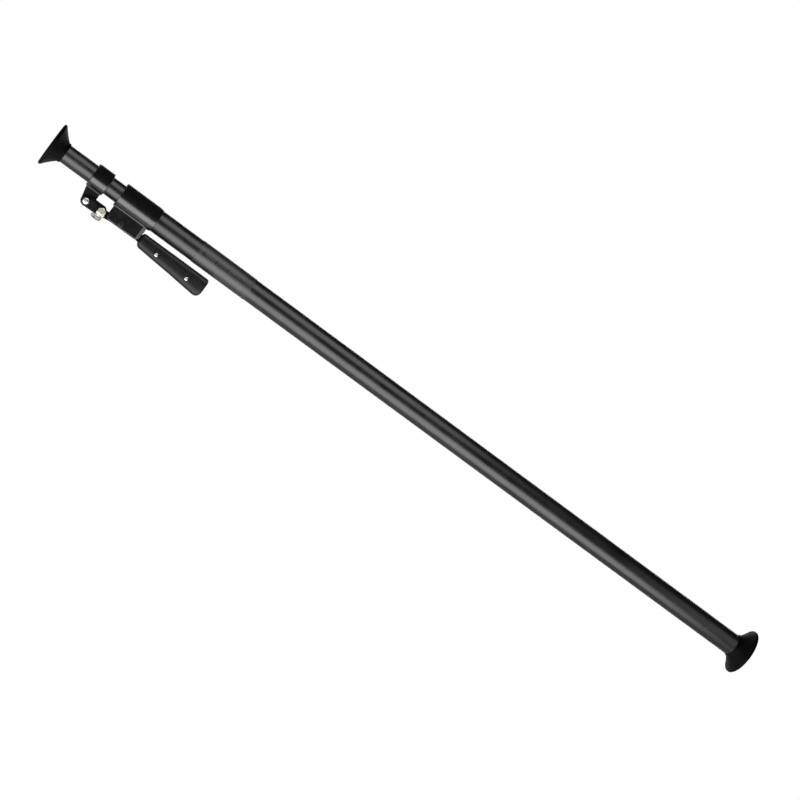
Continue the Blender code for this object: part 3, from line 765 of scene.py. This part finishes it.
def collar_fasteners():
    for i, spot in enumerate(COLLAR_SCREWS):
        centre = axis_at(spot)
        screw = turned(solid([(OUTER_R + GAP, SCREW_R), (COLLAR_R - 0.0010, SCREW_R)], [0.0003, 0.0003]), "Y",
                       SCREW_ROUND, centre)
        socket = turned(solid([(COLLAR_R - 0.0022, 0.0010), (COLLAR_R + 0.001, 0.0010)]), "Y", 6, centre)
        piece("grub_screw_%d" % (i + 1), cut(screw, socket), BLACK_STEEL, "outer_pole",
              "collar_screw_%d" % (i + 1))
    centre = axis_at(PIVOT)
    head, tip = -CHEEK_HALF - GAP, CHEEK_HALF + 0.003
    profile = solid([(head - 0.0022, 0.0050), (head - 0.0016, 0.0062), (head, 0.0066), (head, PIN_R),
                     (tip, PIN_R)], [0.0012, 0.0014, 0.0003, 0.0, 0.0008], 5)
    pin = turned(profile, "Y", SMALL_ROUND, centre)
    dimple = turned(solid([(head - 0.0030, 0.0026), (head - 0.0016, 0.0012)]), "Y", SCREW_ROUND, centre)
    piece("pin_pivot", cut(pin, dimple), BLACK_STEEL, "outer_pole", "pivot_pin")
    clip = snap_ring(PIVOT, CHEEK_HALF + GAP, CHEEK_HALF + GAP + THIN, PIN_R + GAP, CLIP_R)
    piece("clip_pivot", clip, STEEL, "outer_pole", "pivot_clip")
    pad = placed(filleted([(0.228, -0.0385), (0.244, -0.0385), (0.244, -0.0275), (0.228, -0.0275)],
                          [0.0015] * 4))
    piece("pad_stop", plate(pad, -ARM_HALF, ARM_HALF, 0.0009, 3), RUBBER, "outer_pole", "stop_bumper")


# Lever

def lever_arm():
    nose = arc(NOSE, 0.0082, 95, 265, 28)
    boss_low = arc(PIVOT, 0.0088, 240, 290, 10)
    boss_high = arc(PIVOT, 0.0088, 80, 110, 6)
    tail = filleted([(0.246, -0.0562), (HANDLE_START + 0.006, -0.0588), (0.395, -0.0660), (0.395, -0.0480),
                     (HANDLE_START, -0.0400), (0.226, -0.0390)],
                    [0.0, 0.004, 0.004, 0.004, 0.004, 0.004], 4, closed=False)
    arm = plate(placed(nose + boss_low + tail + boss_high), -ARM_HALF, ARM_HALF, 0.0008)
    faces = (-ARM_HALF, ARM_HALF)
    holes = [bore(spot, PIN_R + GAP, faces) for spot in (PIVOT, NOSE)]
    holes += [bore(spot, SCREW_R + GAP, faces, facets=SCREW_ROUND) for spot in HANDLE_SCREWS]
    piece("arm_lever", cut(arm, gathered(holes)), LEVER, "lever", "lever_arm")


END_STEPS, MIDDLE_STEPS = 12, 40
FRONT_ROUND, BACK_ROUND = 0.009, 0.012       # lengths of the handle's rounded ends
BOTH_ROUNDS = 0.021
HANDLE_FACETS = 72
FULL_Y, FULL_Z = 0.62, 0.66                  # a section's squareness: 1 is an ellipse, 0 is a box
BELLY = ((HANDLE_START, -0.0655), (HANDLE_START + 0.010, -0.0665), (HANDLE_START + 0.040, -0.0690),
         (0.340, -0.0722), (0.380, -0.0760), (0.402, -0.0778), (HANDLE_END, -0.0779))


def handle_body():
    """The whole handle as one loft: crowned sides, a level back, and a belly that deepens towards its end."""
    def eased(distance, radius):
        """How much a section has grown at a distance from the end, for an end rounded to a radius."""
        inside = max(0.0, radius - distance)
        return radius - math.sqrt(radius * radius - inside * inside)

    bends = [1 - math.cos(math.pi / 2 * i / END_STEPS) for i in range(END_STEPS + 1)]
    level = HANDLE_END - HANDLE_START - BOTH_ROUNDS
    stations = [HANDLE_START + FRONT_ROUND * bend for bend in bends]
    stations += [HANDLE_START + FRONT_ROUND + level * i / MIDDLE_STEPS for i in range(1, MIDDLE_STEPS)]
    stations += [HANDLE_END - BACK_ROUND * bend for bend in reversed(bends)]
    belly_stations, belly_heights = zip(*BELLY)
    bm = bmesh.new()
    loops = []
    for d in stations:
        from_start, from_end = d - HANDLE_START, HANDLE_END - d
        top = HANDLE_TOP - eased(from_start, 0.005) - eased(from_end, 0.006)
        bottom = (float(np.interp(d, belly_stations, belly_heights))
                  + eased(from_start, 0.008) + eased(from_end, 0.012))
        half = HANDLE_HALF - eased(from_start, 0.0045) - eased(from_end, 0.0060)
        centre, height = (top + bottom) / 2, (top - bottom) / 2
        corners = []
        for k in range(HANDLE_FACETS):
            angle = 2 * math.pi * k / HANDLE_FACETS
            c, s = math.cos(angle), math.sin(angle)
            y = half * math.copysign(abs(c) ** FULL_Y, c)
            z = centre + height * math.copysign(abs(s) ** FULL_Z, s)
            corners.append(bm.verts.new((at(d), y, z)))
        loops.append(corners)
    for first, second in zip(loops, loops[1:]):
        for k in range(HANDLE_FACETS):
            j = (k + 1) % HANDLE_FACETS
            bm.faces.new((first[k], first[j], second[j], second[k]))
    bm.faces.new(loops[0])
    bm.faces.new(loops[-1])
    bmesh.ops.recalc_face_normals(bm, faces=bm.faces[:])
    return bm


def handle():
    """Two moulded shells with a parting groove, screw recesses and a pocket for the arm."""
    pocket = placed([(HANDLE_START - 0.01, -0.0600), (HANDLE_START + 0.006, -0.0602), (0.3956, -0.0668),
                     (0.3956, -0.0470), (HANDLE_START - 0.01, -0.0380)])
    seat = HANDLE_HALF - HEAD_SINK
    for name, cad_node, side in (("shell_near", "grip_shell_near", -1), ("shell_far", "grip_shell_far", 1)):
        inner = GAP / 2 * side
        low_y, high_y = sorted((inner, side * THROUGH))
        keep = block((at(0.2), low_y, -0.1), (at(0.5), high_y, 0.0))
        shell = combined(handle_body(), keep, "INTERSECT")
        rim = [e for e in shell.edges if all(abs(v.co.y - inner) < 1e-6 for v in e.verts)]
        bmesh.ops.bevel(shell, geom=rim, offset=0.00045, segments=2, affect="EDGES", clamp_overlap=True)
        shell = cut(shell, plate(pocket, -ARM_HALF - GAP, ARM_HALF + GAP))
        wells = []
        for spot in HANDLE_SCREWS:
            profile = [(-0.001, SCREW_R + GAP), (seat, SCREW_R + GAP), (seat, HEAD_WELL_R),
                       (HANDLE_HALF - 0.0003, HEAD_WELL_R), (HANDLE_HALF + 0.004, 0.0089)]
            profile = [(along * side, radius) for along, radius in solid(profile)]
            wells.append(turned(profile, "Y", SMALL_ROUND, axis_at(spot)))
        shell = cut(shell, gathered(wells))
        piece(name, shell, PLASTIC, "lever", cad_node, 34)


def handle_fasteners():
    seat = HANDLE_HALF - HEAD_SINK + GAP
    for i, spot in enumerate(HANDLE_SCREWS):
        centre = axis_at(spot)
        head = [(-seat - 0.0026, 0.0022), (-seat - 0.0019, 0.0037), (-seat, 0.0042)]
        shank = [(-seat, SCREW_R), (seat + 0.0024, SCREW_R)]
        profile = solid(head + shank, [0.002, 0.0012, 0.0002, 0.0, 0.0004], 5)
        screw = turned(profile, "Y", SCREW_ROUND, centre)
        for bar in cross_recess(spot, -seat - 0.0024, 0.0011, 0.0021, 0.0009, -1):
            screw = cut(screw, bar)
        piece("screw_handle_%d" % (i + 1), screw, STEEL, "lever", "grip_screw_%d" % (i + 1))
        nut = hex_headed(spot, seat, seat + 0.0020, 0.0042, SCREW_R + GAP, 0.0005)
        piece("nut_handle_%d" % (i + 1), nut, STEEL, "lever", "grip_nut_%d" % (i + 1))


# Link

def link():
    outline = (arc(DRIVE, 0.0105, 110, 270, 30) + arc(NOSE, 0.0095, 270, 360, 18)
               + filleted([(NOSE[0] + 0.0090, NOSE[1] + 0.0060), (NOSE[0] + 0.0050, NOSE[1] + 0.0112),
                           (NOSE[0] + 0.0015, PLATE_TOP), (DRIVE[0] + 0.0080, PLATE_TOP)],
                          [0.0, 0.003, 0.003, 0.004], 4, closed=False))
    for name, cad_node, side in (("side_near", "link_plate_near", -1), ("side_far", "link_plate_far", 1)):
        faces = sorted((side * (ARM_HALF + GAP), side * (ARM_HALF + GAP + PLATE)))
        bm = plate(placed(outline), faces[0], faces[1], 0.0011)
        bm = cut(bm, bore(NOSE, PIN_R + GAP, faces))
        slot = belt(DRIVE, 0.004, (DRIVE[0] + 0.0024, DRIVE[1]), 0.004)
        bm = cut(bm, plate(placed(slot), -THROUGH, THROUGH))
        piece("link_" + name, bm, LEVER, "link", cad_node)


def nose_pin():
    face = ARM_HALF + GAP + PLATE
    seat = face + CATCH_THICK + 2 * GAP
    centre = axis_at(NOSE)
    head = hex_headed(NOSE, -seat - 0.0052, -seat, 0.0096, chamfer=0.0011)
    crown = solid([(-seat - 0.0065, 0.0052), (-seat - 0.0050, 0.0066), (-seat - 0.002, 0.0066)],
                  [0.0011, 0.0006, 0.0], 5)
    head = combined(head, turned(crown, "Y", SMALL_ROUND, centre), "UNION")
    shank = solid([(-seat - 0.003, PIN_R), (face + 0.003, PIN_R)], [0.0, 0.0008])
    head = combined(head, turned(shank, "Y", SMALL_ROUND, centre), "UNION")
    dimple = turned(solid([(-seat - 0.0080, 0.0034), (-seat - 0.0055, 0.0028)]), "Y", SMALL_ROUND, centre)
    piece("pin_nose", cut(head, dimple), BRASS, "link", "nose_pin", 28)
    clip = snap_ring(NOSE, face + GAP, face + GAP + THIN, PIN_R + GAP, CLIP_R)
    piece("clip_nose", clip, STEEL, "link", "nose_clip")


def safety_catch():
    """Pressed steel tab: an eye on the nose pin, a wide pad below it and a lip rolled outwards."""
    face = -ARM_HALF - GAP - PLATE - GAP
    left, right = CATCH_PAD
    outline = (arc(left, CATCH_PAD_R, 90, 270, 24) + arc(right, CATCH_PAD_R, 270, 390, 18)
               + arc(NOSE, 0.0085, -30, 210, 40))
    bm = plate(placed(outline), face - CATCH_THICK, face, 0.0004)
    middle = CATCH_PAD_R - 0.0009
    outer, inner = middle + 0.0008, middle - 0.0008
    rim = (arc(left, outer, 180, 270, 12) + arc(right, outer, 270, 360, 12)
           + arc(right, inner, 360, 270, 12) + arc(left, inner, 270, 180, 12))
    lip = plate(placed(rim), face - CATCH_THICK - 0.0045, face - 0.0006, 0.0006)
    bm = combined(bm, lip, "UNION")
    bm = cut(bm, bore(NOSE, PIN_R + GAP, (face - CATCH_THICK, face)))
    piece("tab_catch", bm, STEEL, "catch", "safety_catch")


# Stage

CAMERA_STATION = -0.123      # the camera stands nearly square to the sliding foot
CAMERA_AWAY = 4.73
AIM_STATION = 0.882
CAMERA_ROLL = 36.37          # degrees the pole leans in the frame
LENS = 105.05
FLOOR_Z = -1.2


def camera():
    data = bpy.data.cameras.new("camera")
    data.lens = LENS
    data.sensor_width = 36.0
    data.clip_start, data.clip_end = 0.05, 100.0
    obj = bpy.data.objects.new("camera", data)
    bpy.context.scene.collection.objects.link(obj)
    place = Vector((at(CAMERA_STATION), -CAMERA_AWAY, 0.0))
    forward = (Vector((at(AIM_STATION), 0.0, 0.0)) - place).normalized()
    level = forward.cross(Vector((0.0, 0.0, 1.0))).normalized()
    roll = math.radians(CAMERA_ROLL)
    right = level * math.cos(roll) + Vector((0.0, 0.0, 1.0)) * math.sin(roll)
    up = Vector((0.0, 0.0, 1.0)) * math.cos(roll) - level * math.sin(roll)
    basis = Matrix((right, up, -forward)).transposed()
    obj.matrix_world = Matrix.Translation(place) @ basis.to_4x4()
    bpy.context.scene.camera = obj


def area_light(name, place, target, width, height, radiance, lit=None):
    """Softbox of a given radiance, its long side along the pole. lit is the collection that it lights."""
    data = bpy.data.lights.new(name, "AREA")
    data.shape = "RECTANGLE"
    data.size, data.size_y = width, height
    data.energy = radiance * width * height * math.pi
    obj = bpy.data.objects.new(name, data)
    bpy.context.scene.collection.objects.link(obj)
    down = (Vector(target) - Vector(place)).normalized()
    side = Vector((1.0, 0.0, 0.0))
    across = down.cross(side).normalized()
    side = across.cross(down).normalized()
    obj.matrix_world = Matrix.Translation(place) @ Matrix((side, across, -down)).transposed().to_4x4()
    obj.visible_camera = False
    obj.light_linking.receiver_collection = lit


def white_world():
    """Plain white to the camera, and only a faint ambient light on the pole."""
    world = bpy.data.worlds.new("studio")
    bpy.context.scene.world = world
    world.use_nodes = True
    tree = world.node_tree
    seen = tree.nodes["Background"]
    seen.inputs["Color"].default_value = (1.0, 1.0, 1.0, 1.0)
    seen.inputs["Strength"].default_value = 1.0
    ambient = node(tree, "ShaderNodeBackground")
    ambient.inputs["Color"].default_value = (0.92, 0.95, 1.0, 1.0)
    ambient.inputs["Strength"].default_value = 0.06
    mix = node(tree, "ShaderNodeMixShader")
    tree.links.new(node(tree, "ShaderNodeLightPath").outputs["Is Camera Ray"], mix.inputs["Fac"])
    tree.links.new(ambient.outputs["Background"], mix.inputs[1])
    tree.links.new(seen.outputs["Background"], mix.inputs[2])
    tree.links.new(mix.outputs["Shader"], tree.nodes["World Output"].inputs["Surface"])


def pale_floor():
    """A floor that is white to the camera, bounces light as pale paint does, and can't be seen from below."""
    floor_mat = bpy.data.materials.new("pale_floor")
    floor_mat.use_nodes = True
    tree = floor_mat.node_tree
    shader = tree.nodes["Principled BSDF"]
    shader.inputs["Base Color"].default_value = (0.85, 0.85, 0.85, 1.0)
    shader.inputs["Roughness"].default_value = 0.9
    glow = node(tree, "ShaderNodeEmission")
    mix = node(tree, "ShaderNodeMixShader")
    tree.links.new(node(tree, "ShaderNodeLightPath").outputs["Is Camera Ray"], mix.inputs["Fac"])
    tree.links.new(shader.outputs["BSDF"], mix.inputs[1])
    tree.links.new(glow.outputs["Emission"], mix.inputs[2])
    one_sided = node(tree, "ShaderNodeMixShader")
    tree.links.new(node(tree, "ShaderNodeNewGeometry").outputs["Backfacing"], one_sided.inputs["Fac"])
    tree.links.new(mix.outputs["Shader"], one_sided.inputs[1])
    tree.links.new(node(tree, "ShaderNodeBsdfTransparent").outputs["BSDF"], one_sided.inputs[2])
    tree.links.new(one_sided.outputs["Shader"], tree.nodes["Material Output"].inputs["Surface"])
    bm = bmesh.new()
    bmesh.ops.create_grid(bm, x_segments=1, y_segments=1, size=30.0)
    bmesh.ops.translate(bm, verts=bm.verts[:], vec=(at(LENGTH / 2), 0.0, FLOOR_Z))
    floor = loose("floor", bm)
    floor.data.materials.append(floor_mat)
    floor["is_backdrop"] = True
    return floor


def studio():
    """Castings, lever and rubber have a strip and a card of their own, so that they stay black from above."""
    white_world()
    floor = pale_floor()
    bright = bpy.data.collections.new("tubes_handle_and_bright_metal")
    dark = bpy.data.collections.new("castings_lever_and_rubber")
    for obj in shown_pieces():
        is_dark = any(mat.name in obj.data.materials for mat in (CAST, LEVER, RUBBER))
        (dark if is_dark else bright).objects.link(obj)
    bright.objects.link(floor)
    area_light("strip_low", (-1.42, -0.74, -0.68), (-1.42, 0.0, 0.0), 3.6, 1.05, 3.6, bright)
    area_light("strip_low_dark", (-1.42, -0.72, -0.71), (-1.42, 0.0, 0.0), 3.6, 0.78, 3.8, dark)
    area_light("softbox_far", (0.61, -0.86, 0.42), (0.15, 0.0, 0.0), 0.62, 1.30, 0.90, bright)
    area_light("card_side", (-0.62, -0.72, -0.04), (-1.57, 0.0, -0.04), 0.6, 0.4, 2.4, dark)
    area_light("softbox_high", (-1.72, -0.88, 1.20), (-1.72, 0.0, 0.0), 2.7, 1.20, 2.1, bright)
    area_light("strip_back_high", (-0.9, 1.40, 0.62), (-0.9, 0.0, 0.0), 5.0, 0.40, 3.0)
    area_light("strip_back_low", (-0.9, 1.40, -0.55), (-0.9, 0.0, 0.0), 5.0, 0.35, 2.4)
    bpy.context.scene.view_settings.view_transform = "Standard"


tubes()
bushes()
foot("base", BASE_RIM_R, BASE_FOOT_DEPTH, OUTER_R, 0.0, -1, "outer_pole")
foot("top", TOP_RIM_R, TOP_FOOT_DEPTH, INNER_R, at(0.0), 1, "inner_pole")
lever_collar()
grip_collar()
link_fasteners()
collar_fasteners()
lever_arm()
handle()
handle_fasteners()
link()
nose_pin()
safety_catch()
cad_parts["tail_bush"].data.materials.clear()
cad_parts["tail_bush"].data.materials.append(BUSH)

camera()
studio()
